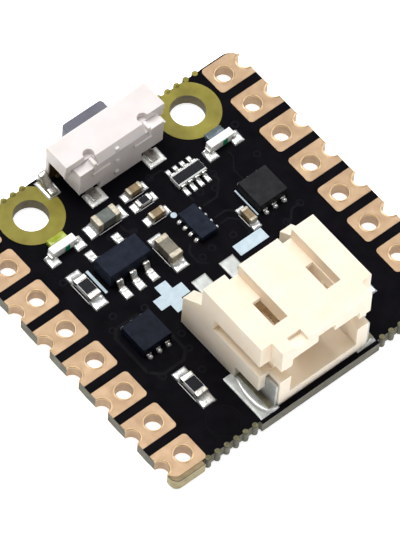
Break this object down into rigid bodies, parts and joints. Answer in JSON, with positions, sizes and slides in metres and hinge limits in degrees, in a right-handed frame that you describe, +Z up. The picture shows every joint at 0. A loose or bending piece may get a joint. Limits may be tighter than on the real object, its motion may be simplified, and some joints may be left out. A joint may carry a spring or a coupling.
{
  "type": "battery power board",
  "caption": "Small square castellated circuit board with a two-pin battery socket, a slide switch and a battery charging circuit.",
  "frame": {"origin": "on the board's flat underside, at the middle of its two pad rows", "axes": "+X towards the pad row on the right when seen from above with the switch at the far edge, +Y towards the switch, +Z up through the board"},
  "size_m": [0.0208, 0.0209, 0.0062],
  "materials": {
    "board_black": "solder mask over glass-fibre board, satin black",
    "pad_gold": "gold over copper, satin",
    "ivory_plastic": "moulded, satin",
    "white_plastic": "moulded, satin",
    "grey_plastic": "moulded, satin",
    "tinned_metal": "tin plate, bright",
    "dark_epoxy": "moulded epoxy, satin",
    "black_film": "glazed film with tinned ends",
    "brown_ceramic": "fired ceramic with tinned ends",
    "grey_ceramic": "fired ceramic with tinned ends",
    "yellow_resin": "tinted lamp resin",
    "clear_resin": "clear lamp resin"
  },
  "bodies": {
    "board": {"battery_capacitor": "grey_ceramic", "charger_ic_body": "dark_epoxy", "charger_ic_lead_1": "tinned_metal", "charger_ic_lead_2": "tinned_metal", "charger_ic_lead_3": "tinned_metal", "charger_ic_lead_4": "tinned_metal", "charger_ic_lead_5": "tinned_metal", "circuit_board": "board_black", "input_capacitor": "grey_ceramic", "lamp_left_carrier": "white_plastic", "lamp_left_lens": "yellow_resin", "lamp_right_carrier": "white_plastic", "lamp_right_lens": "clear_resin", "pad_left_1": "pad_gold", "pad_left_2": "pad_gold", "pad_left_3": "pad_gold", "pad_left_4": "pad_gold", "pad_left_5": "pad_gold", "pad_left_6": "pad_gold", "pad_left_7": "pad_gold", "pad_left_8": "pad_gold", "pad_right_1": "pad_gold", "pad_right_2": "pad_gold", "pad_right_3": "pad_gold", "pad_right_4": "pad_gold", "pad_right_5": "pad_gold", "pad_right_6": "pad_gold", "pad_right_7": "pad_gold", "pad_right_8": "pad_gold", "path_switch_ic": "dark_epoxy", "protection_ic": "dark_epoxy", "regulator_ic": "dark_epoxy", "resistor_array": "black_film", "sense_resistor_front": "black_film", "sense_resistor_rear": "black_film", "small_capacitor_middle": "brown_ceramic", "small_capacitor_rear": "brown_ceramic", "small_capacitor_right": "brown_ceramic", "small_resistor": "black_film", "socket_housing": "ivory_plastic", "socket_pin_left": "tinned_metal", "socket_pin_right": "tinned_metal", "socket_tab_left": "tinned_metal", "socket_tab_right": "tinned_metal", "switch_anchor_left": "tinned_metal", "switch_anchor_right": "tinned_metal", "switch_base": "white_plastic", "switch_cover": "white_plastic", "switch_terminal_left": "tinned_metal", "switch_terminal_right": "tinned_metal"},
    "slider": {"switch_slider": "grey_plastic", "switch_wiper": "tinned_metal"}
  },
  "joints": [
    {"name": "switch_slide", "type": "slide", "parent": "board", "child": "slider", "axis": [1, 0, 0], "range_m": [-0.00055, 0.00095]}
  ]
}
